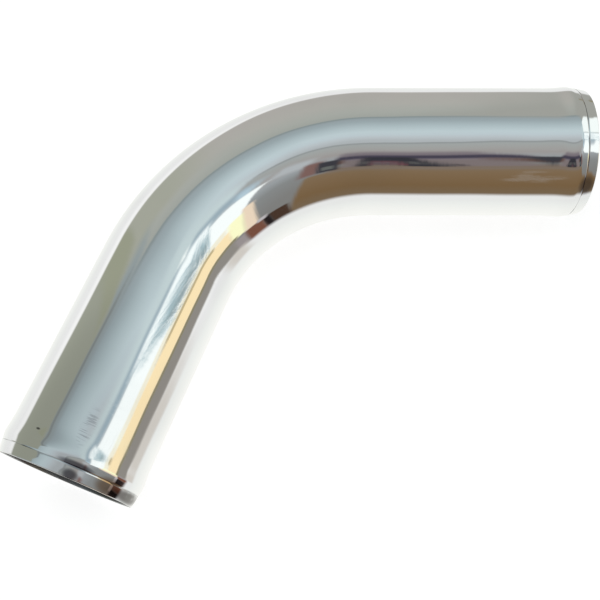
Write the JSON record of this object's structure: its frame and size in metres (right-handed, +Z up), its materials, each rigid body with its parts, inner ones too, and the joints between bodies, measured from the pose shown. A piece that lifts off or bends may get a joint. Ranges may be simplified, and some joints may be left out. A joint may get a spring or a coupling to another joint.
{
  "type": "mandrel bend tube",
  "caption": "Thin-walled round aluminium tube with one smooth bend between two straight legs and a rolled hose bead at each open end.",
  "frame": {"origin": "middle of the tube's footprint, on the surface that it lies on", "axes": "+X out of the mouth of leg A along that leg, +Z up across the level plane of the bend"},
  "size_m": [0.2726, 0.2072, 0.0654],
  "materials": {
    "polished_aluminium": "mirror polished outside, drawn and duller inside the bore"
  },
  "bodies": {
    "root": {"bent_tube": "polished_aluminium"}
  },
  "joints": []
}
